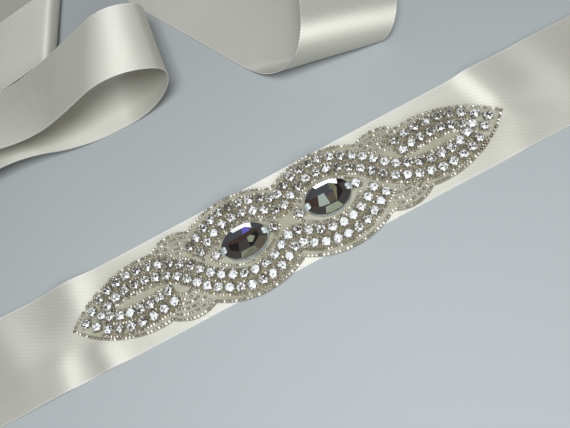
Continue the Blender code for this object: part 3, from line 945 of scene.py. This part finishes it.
def cup_unit():
    shape = bmesh.new()
    bmesh.ops.create_cone(shape, cap_ends=True, segments=CUP_SIDES, radius1=CUP_RADIUS * CUP_FOOT_SIZE,
                          radius2=CUP_RADIUS, depth=CUP_HEIGHT)
    lift(shape, shape.verts, CUP_HEIGHT / 2)
    for k in range(CLAWS):
        claw = bmesh.ops.create_cone(shape, cap_ends=True, segments=4, radius1=CLAW["low"],
                                     radius2=CLAW["high"], depth=CLAW["length"])["verts"]
        turn_about(shape, claw, "Y", math.radians(CLAW["bend"]))
        move(shape, claw, (CUP_RADIUS - CLAW["inset"], 0.0, CUP_HEIGHT + CLAW["lift"]))
        turn_about(shape, claw, "Z", math.tau * (k + 0.5) / CLAWS)
    shape.verts.index_update()
    return shape


# %% [markdown]
# The foil behind a cut stone makes its facets mirrors of very different things, so next to a white facet
# there is often a black one. These reflections are painted: each facet gets a tone of its own, which the
# finish turns into a colour from smoke to white. Facets round the edge are painted mostly dark, and the ring
# of them just above is painted mostly white, which draws a star of painted glints. A clear coat is the
# polished top of the glass.

# %% Set out the stones
EDGE_TOP = 0.7          # facets with their middle below this height lie at the edge
STAR_TOP = 0.95         # and those below this one are the points of the star
LOOSE_STONES = [(-80.0, 0.0), (-76.6, 3.0), (-76.6, -3.0), (-73.6, 0.0), (-27.8, 0.3), (-5.2, -0.2)]
ROW_OFFSET = 2.3
STONE_PITCH = 4.12
CUP_FOOT = BOARD_TOP + 0.05
STONE_FOOT = CUP_FOOT + 1.1

chance = np.random.default_rng(11)
stone_spots = []
for points in STRANDS.values():
    for side in (ROW_OFFSET, -ROW_OFFSET):
        row, _ = even_points(beside(points, side), STONE_PITCH)
        stone_spots += [(before + after) / 2 for before, after in zip(row, row[1:])]
stone_spots += [Vector((side * x, y)) for side in (1, -1) for x, y in LOOSE_STONES]

stone_places, cup_places = [], []
for spot in stone_spots:
    turn, tilt_turn = chance.uniform(0.0, math.tau, 2)
    tilt = abs(chance.normal(0.0, math.radians(4.5)))
    stone_places.append(frame_at(spot.x, spot.y, STONE_FOOT, turn, tilt, tilt_turn))
    cup_places.append(frame_at(spot.x, spot.y, CUP_FOOT, turn, tilt, tilt_turn))

stone_shape = stone_unit()
facets = len(stone_shape.faces)
level = np.array([face.calc_center_median().z for face in stone_shape.faces])
far = np.array([[spot.y] for spot in stone_spots])
# Painted shade: stones further back get fewer white, glinting facets.
glint_share = chance.uniform(0.15, 0.75, far.shape) - 0.014 * far       # less on the far side
drawn = chance.uniform(0.0, 1.0, (len(stone_spots), facets))
# The tones are painted reflections: white is a painted glint, the dark tones are painted dark reflections.
crown_tones = np.where(drawn < glint_share, 0.97, np.where(drawn < glint_share + 0.3, 0.5, 0.1))
star_tones = np.where(drawn < 0.75, 0.95, 0.2)
edge_tones = np.where(drawn < 0.25, 0.5, 0.1)
tones = np.select([level < EDGE_TOP, level < STAR_TOP], [edge_tones, star_tones], crown_tones)
tones = np.clip(tones + chance.normal(0.0, 0.03, tones.shape), 0.0, 1.0)
stones_mesh = copies("rhinestones", stone_shape, stone_places, tones)
cups_mesh = copies("stone_cups", cup_unit(), cup_places)


def tone_colours(tree, colours):
    """Mixes colours by the face's tone, in even steps from 0 to 1."""
    tone = new_node(tree, "Attribute")
    tone.attribute_name = "tone"
    ramp = new_node(tree, "ValToRGB", Fac=tone.outputs["Fac"])
    ramp.color_ramp.elements[0].color = (*colours[0], 1.0)
    ramp.color_ramp.elements[-1].color = (*colours[-1], 1.0)
    for k, colour in enumerate(colours[1:-1], 1):
        stop = ramp.color_ramp.elements.new(k / (len(colours) - 1))
        stop.color = (*colour, 1.0)
    return ramp.outputs["Color"]


# The facet tones paint the glints and dark reflections into the glass's base colour.
glass_with_painted_glints, tree, shader = new_material("foiled_glass_painted_glints", 0.16, 0.2, Coat_Weight=1.0, Coat_Roughness=0.03)
paint(tree, shader, tone_colours(tree, [(0.04, 0.036, 0.03), (0.27, 0.255, 0.215), (0.88, 0.88, 0.88)]))

silver, tree, shader = new_material("silver_plate", 0.30, 0.6)
paint_patches(tree, shader, 350.0, 2.0, (0.60, 0.57, 0.49), (0.30, 0.27, 0.20))

STONE_NODES = ["stones_over_left", "stones_over_right", "stones_leaf_left", "stones_leaf_right"]
add_piece("rhinestones", stones_mesh, glass_with_painted_glints, STONE_NODES)
add_piece("stone_cups", cups_mesh, silver)
print(len(stone_spots), "stones of", facets, "facets")

# %% [markdown]
# ## Seed beads
#
# Lines of small silver-lined beads edge the applique and every strand, fill the petals with nested arcs and
# ring each large crystal. A bead is a sphere of a few faces, squeezed a little along its thread, with painted
# shade at the two ends, where the hole and the gap to the next bead are. Each line is set out evenly, and
# each bead differs slightly in size, height and tone. The tones are painted reflections: the light one is a
# painted glint, the middle and dark ones painted dim reflections.

# %% Bead lines
BEAD = 1.3
BEAD_STEP = 1.06                    # from bead to bead, in bead sizes
# The bead tones are painted reflections; the light tone is a painted glint.
BEAD_TONES = [0.35, 0.62, 0.95]     # dark, middle and light beads, and the share of each
BEAD_SHARES = [0.36, 0.38, 0.26]
PETAL_LINES = [     # three points of each arc
    ((36.2, 13.0), (43.0, 14.2), (49.4, 11.7)),
    ((37.2, 11.3), (43.0, 12.3), (48.4, 10.1)),
    ((38.4, 9.6), (43.0, 10.4), (47.2, 8.7)),
    ((39.6, 8.0), (43.0, 8.7), (46.0, 7.4)),
    ((40.8, 6.5), (43.0, 7.0), (44.8, 6.1)),
]
SLOT_LINE = ((50.5, 1.2), (60.0, 1.9), (69.0, 1.2))
EYE_RING = ((-13.6, 0.0), (0.0, 7.4), (13.6, 0.0))
EYE_X = 16.5
OUTLINE_INSET = 0.1


def mirrored(line, steps, x_side, y_side, shift=0.0):
    """An arc through three points, mirrored, and then moved along the applique."""
    return [Vector((shift + x_side * x, y_side * y)) for x, y in [line[0], *arc(*line, steps)]]


def inset(points, distance):
    """A closed line moved inwards."""
    points = [Vector(point) for point in points]
    moved = []
    for before, here, after in zip([points[-1], *points], points, [*points[1:], points[0]]):
        arriving, leaving = (here - before).normalized(), (after - here).normalized()
        inward = Vector((-arriving.y - leaving.y, arriving.x + leaving.x)).normalized()
        moved.append(here + inward * distance / inward.dot(Vector((-arriving.y, arriving.x))))
    return moved


edging = inset(outline, OUTLINE_INSET)
bead_lines = [([*edging, edging[0]], BEAD, 0.25)]       # the points, the size and the height of each line
for points in STRANDS.values():
    for offset in (4.5, 0.0, -4.5):
        bead_lines.append((beside(points, offset), BEAD * 0.84, 0.35))
for x_side in (1, -1):
    for y_side in (1, -1):
        for line in [*PETAL_LINES, SLOT_LINE]:
            bead_lines.append((mirrored(line, 12, x_side, y_side), BEAD * 0.9, 0.40))
    for y_side in (1, -1):
        bead_lines.append((mirrored(EYE_RING, 24, 1, y_side, x_side * EYE_X), BEAD * 0.9, 0.45))

bead_places, bead_tones = [], []
for line, size, height in bead_lines:
    spots, ways = even_points(line, size * BEAD_STEP)
    for spot, way in zip(spots, ways):
        z = BOARD_TOP + height + chance.normal(0.0, 0.05)
        angle = math.atan2(way.y, way.x)
        bead_places.append(frame_at(spot.x, spot.y, z, angle, size=size / 2 * chance.uniform(0.88, 1.08)))
        bead_tones.append(chance.choice(BEAD_TONES, p=BEAD_SHARES) + chance.normal(0.0, 0.06))

bead_shape = bmesh.new()
bmesh.ops.create_uvsphere(bead_shape, u_segments=8, v_segments=5, radius=1.0)
turn_about(bead_shape, bead_shape.verts, "Y", math.pi / 2)
stretch(bead_shape, bead_shape.verts, (0.9, 1.0, 1.0))
bead_shape.verts.index_update()
# The two ends of each bead get painted shade, for the hole and the gap to the next bead.
is_shaded_end = np.array([abs(face.calc_center_median().x) > 0.7 for face in bead_shape.faces])
bead_face_tones = np.where(is_shaded_end, 0.0, np.clip(bead_tones, 0.0, 1.0)[:, None])
beads_mesh = copies("seed_beads", bead_shape, bead_places, bead_face_tones)
beads_mesh.shade_smooth()

bead_glass, tree, shader = new_material("silver_lined_beads_painted_glints", 0.18, 0.25, Coat_Weight=0.6)
paint(tree, shader, tone_colours(tree, [(0.09, 0.075, 0.05), (0.27, 0.24, 0.18), (0.85, 0.79, 0.71)]))
add_piece("seed_beads", beads_mesh, bead_glass)
print(len(bead_places), "beads in", len(bead_lines), "lines")

# %% [markdown]
# ## The two large crystals
#
# Each oval crystal has a finely divided girdle, so that its outline stays round, eight broad crown facets
# and a flat table. Through the table one sees the foiled back of the stone as a mosaic of dark and light
# pieces, and these reflections are painted. It is drawn as a gem cutter would: `bisect_plane` cuts one facet
# at a time along a straight line, and every piece then takes the painted tint of the nearest named spot.

# %% Cuts and tints of the crystals
CRYSTAL_HALF = (8.6, 6.0)
CRYSTAL_Y = dict(left=-0.5, right=-0.2)
CRYSTAL_LEVELS = dict(back=3.4, girdle_low=5.45, girdle_high=5.85, table=6.3)
BACK_SIZE = 0.60        # of the back and of the table, as shares of the girdle
TABLE_SIZE = 0.71
GIRDLE_SHIFT = (0.2, -0.4)      # the table lies off the middle, so the near and far facets slope unlike
BROAD_FACETS = 8
GIRDLE_POINTS = 48
# Colours of the crystal facets, which are painted reflections.
PAINTED_REFLECTION_TINTS = dict(
    black=(0.008, 0.006, 0.006), smoke=(0.050, 0.053, 0.060), brown=(0.040, 0.024, 0.018),
    soot=(0.040, 0.036, 0.030), violet=(0.11, 0.09, 0.38), bronze=(0.085, 0.070, 0.048),
    tan=(0.17, 0.145, 0.09), olive=(0.12, 0.12, 0.08), sage=(0.22, 0.24, 0.17), mist=(0.30, 0.34, 0.31),
    white=(1.0, 1.0, 1.0))
CUTS = {        # a spot in the facet to cut, and two points of the line
    "left": [
        ((0, 0), (-6, 1.5), (6, 1.9)), ((0, 3), (0.5, 1.6), (1.2, 4.2)),
        ((2.5, 3), (3.6, 1.7), (3.2, 4.2)), ((0, 0), (1.6, 1.9), (1.3, -4.4)),
        ((3, -1), (1.5, -0.1), (2.9, 0.2)), ((3, -2), (2.9, 0.2), (4.3, -0.9)),
        ((3, -2), (4.3, -0.9), (2.7, -2.6)), ((2, -3), (1.4, -1.9), (2.7, -2.6)),
        ((-2, 0), (-6, 0.4), (1.5, -0.7)), ((-2, -3), (-3.2, -4.4), (-1.6, 0.5)),
        ((-1, -3), (-3, -1.4), (1.4, -2.9)), ((5, 4), (4.9, 6), (4.4, 2.4))],
    "right": [
        ((0, 0), (-6, 1.2), (6, 1.0)), ((0, 0), (-2.9, 1.2), (-4.4, -3.2)),
        ((0, 0), (-0.6, 1.2), (-0.3, -3.6)), ((2, -1), (2.9, 1.1), (2.2, -4)),
        ((1, 0), (-0.5, -0.2), (2.4, -0.3)), ((4, -1), (4.4, 1.0), (3.0, -2.2)),
        ((1, -3), (-0.4, -3.4), (2.3, -3.1)), ((-2, -3), (-4.2, -3.0), (-0.3, -3.5)),
        ((0, 3), (1.9, 1.0), (2.5, 4.6)), ((4, 2), (3.9, 4), (4.4, 1)), ((5, 4), (6.4, 6), (5.2, 2)),
        ((-1, -5), (0.4, -3), (0.6, -8))],
}
# Where each painted reflection lies on a crystal.
PAINTED_REFLECTION_SPOTS = {       # spots that give the pieces round them their tint
    "left": dict(
        violet=[(2.1, 2.7)], sage=[(2.6, -1.2)], white=[(0, 5.2), (3.4, 4.6)],
        smoke=[(-3.3, 2.6), (-1.5, 2.8), (6.6, 3.2), (4.4, 2.4), (-5.9, 3.8)],
        brown=[(-3, 0.5), (3.4, 1.0), (0, 0.7)],
        black=[(5, -1.6), (-4.6, -1.4), (3.4, -3.4), (1.2, -4.0)],
        soot=[(-1, -1.6), (-0.7, -3.6), (-7.6, 0.2), (-5.9, -3.8), (7.6, 0.2)], olive=[(0, -5.6)],
        bronze=[(5.9, -3.8)]),
    "right": dict(
        mist=[(-2.1, -1.4)], tan=[(3.2, 0.2)], olive=[(3.2, 2.6)], bronze=[(1.0, -1.8)],
        white=[(0, 5.2), (4.4, 4.2)], sage=[(0.9, -5.6)],
        smoke=[(-2, 2.8), (0, 2.8), (0.8, 0.5), (-5.9, 3.8)],
        brown=[(-4.6, -0.6), (-5.4, 1.2), (-7.6, 0.2)],
        black=[(4.8, -0.9), (5.2, 2.0), (3.4, -3.3), (6.9, 3.4)],
        soot=[(0.8, -3.8), (-2.3, -4.0), (-5.9, -3.8), (5.9, -3.8), (7.6, 0.2)]),
}


# %% Cut the crystals
def oval(shape, size, height, count, shift=0.0):
    ring = bmesh.ops.create_circle(shape, segments=count, radius=1.0)["verts"]
    turn_about(shape, ring, "Z", math.tau * shift / count)
    stretch(shape, ring, (CRYSTAL_HALF[0] * size, CRYSTAL_HALF[1] * size, 1.0))
    lift(shape, ring, height)
    return ring


def edges_of(ring):
    return [edge for edge in {edge for vert in ring for edge in vert.link_edges}
            if all(vert in ring for vert in edge.verts)]


def cut_facet(shape, spot, start, end):
    """Splits the upward facet over a spot along the line through two points."""
    upward = [face for face in shape.faces if face.normal.z > 0.2]
    above = [face for face in upward
             if bmesh.geometry.intersect_face_point(face, (*spot, face.calc_center_median().z))]
    face = above[0] if above else min(
        upward, key=lambda item: (item.calc_center_median().xy - Vector(spot)).length)
    bmesh.ops.bisect_plane(shape, geom=[face, *face.edges, *face.verts], plane_co=(*start, 0.0),
                           plane_no=(start[1] - end[1], end[0] - start[0], 0.0), dist=0.01)


def crystal_mesh(side, centre_x):
    shape = bmesh.new()
    level = CRYSTAL_LEVELS
    back = oval(shape, BACK_SIZE, level["back"], GIRDLE_POINTS)
    low = oval(shape, 1.0, level["girdle_low"], GIRDLE_POINTS)
    high = oval(shape, 1.0, level["girdle_high"], GIRDLE_POINTS)
    move(shape, shape.verts, (*GIRDLE_SHIFT, 0.0))
    corners = oval(shape, TABLE_SIZE, level["table"], BROAD_FACETS, 0.5)
    bmesh.ops.contextual_create(shape, geom=back)
    bmesh.ops.bridge_loops(shape, edges=edges_of(back) + edges_of(low))
    bmesh.ops.bridge_loops(shape, edges=edges_of(low) + edges_of(high))
    bmesh.ops.contextual_create(shape, geom=corners)
    each = GIRDLE_POINTS // BROAD_FACETS
    for k in range(BROAD_FACETS):
        edge = [high[(each * k - each // 2 + i) % GIRDLE_POINTS] for i in range(each + 1)]
        shape.faces.new([corners[k - 1], *edge, corners[k]])
    bmesh.ops.recalc_face_normals(shape, faces=shape.faces)
    for spot, start, end in CUTS[side]:
        shape.normal_update()
        cut_facet(shape, spot, start, end)
    move(shape, shape.verts, (centre_x, CRYSTAL_Y[side], 0.0))
    stretch(shape, shape.verts, (MM, MM, MM))
    mesh = mesh_of("oval_crystal_" + side, shape)
    layer = mesh.attributes.new("tone", "FLOAT", "FACE")
    names = list(PAINTED_REFLECTION_TINTS)
    for face in mesh.polygons:
        spot = Vector((face.center.x / MM - centre_x, face.center.y / MM - CRYSTAL_Y[side]))
        _, tint = min(((Vector(place) - spot).length, name)
                      for name, places in PAINTED_REFLECTION_SPOTS[side].items() for place in places)
        if face.center.z < level["girdle_high"] * MM:
            tint = "bronze"
        layer.data[face.index].value = names.index(tint) / (len(names) - 1)
    return mesh


# %% [markdown]
# The crystals' colours are painted reflections: a dark, smoky brown where the foil mirrors a dim room, a few
# facets violet, olive or pale, and those on the far side painted white for the window. Each crystal is held
# by claws at its two ends.

# %% Crystals in their settings
# The facet tints paint the crystals' reflections into their base colour.
crystal_with_painted_reflections, tree, shader = new_material("smoky_crystal_painted_reflections", 0.08, 0.1, Coat_Weight=1.0, Coat_Roughness=0.01)
paint(tree, shader, tone_colours(tree, list(PAINTED_REFLECTION_TINTS.values())))

bright_silver, tree, shader = new_material("bright_silver", 0.50, 0.3)
paint_patches(tree, shader, 500.0, 2.5, (0.62, 0.67, 0.67), (0.36, 0.39, 0.38))

SETTING = dict(bottom=2.3, top=4.9, half=(8.5, 6.0), wall=0.6, depth=1.0, points=48)
END_CLAW = dict(half=(1.25, 1.2, 1.6), bend=-34.0, place=0.94)
CLAW_ANGLES = (5.5, 174.5, 185.5, 354.5)


def setting_mesh(side, centre_x):
    shape = bmesh.new()
    half_x, half_y = SETTING["half"]
    ring = bmesh.ops.create_circle(shape, cap_ends=True, radius=1.0, segments=SETTING["points"])["verts"]
    stretch(shape, ring, (half_x, half_y, 1.0))
    lift(shape, ring, SETTING["bottom"])
    raised = bmesh.ops.extrude_face_region(shape, geom=shape.faces[:])["geom"]
    tops = [item for item in raised if isinstance(item, bmesh.types.BMVert)]
    lift(shape, tops, SETTING["top"] - SETTING["bottom"])
    lid = next(item for item in raised if isinstance(item, bmesh.types.BMFace))
    bmesh.ops.inset_region(shape, faces=[lid], thickness=SETTING["wall"], use_even_offset=True)
    lift(shape, lid.verts[:], -SETTING["depth"])
    bmesh.ops.recalc_face_normals(shape, faces=shape.faces)
    for angle in CLAW_ANGLES:
        a = math.radians(angle)
        outward = Vector((math.cos(a) * half_x, math.sin(a) * half_y, 0.0))
        claw = bmesh.ops.create_uvsphere(shape, u_segments=12, v_segments=8, radius=1.0)["verts"]
        stretch(shape, claw, END_CLAW["half"])
        turn_about(shape, claw, "Y", math.radians(END_CLAW["bend"]))
        turn_about(shape, claw, "Z", math.atan2(outward.y, outward.x))
        move(shape, claw, outward * END_CLAW["place"] + Vector((0.0, 0.0, SETTING["top"])))
    move(shape, shape.verts, (centre_x + GIRDLE_SHIFT[0], CRYSTAL_Y[side] + GIRDLE_SHIFT[1], 0.0))
    stretch(shape, shape.verts, (MM, MM, MM))
    for face in shape.faces:
        face.smooth = True
    mesh = mesh_of("claw_setting_" + side, shape)
    mesh.set_sharp_from_angle(angle=math.radians(40.0))
    return mesh


for side, centre_x in (("left", -EYE_X), ("right", EYE_X)):
    add_piece("oval_crystal_" + side, crystal_mesh(side, centre_x), crystal_with_painted_reflections,
              ["crystal_" + side])
    add_piece("claw_setting_" + side, setting_mesh(side, centre_x), bright_silver,
              ["setting_" + side])

# %% [markdown]
# ## Check the size
#
# The boxes of the solids and of the dressed sash are printed side by side.

# %% Measure and finish
dressed_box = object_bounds()
for label, box in (("solids", solid_box), ("dressed", dressed_box)):
    print(label, [round(1000 * (high - low), 1) for low, high in zip(*box)], "mm")
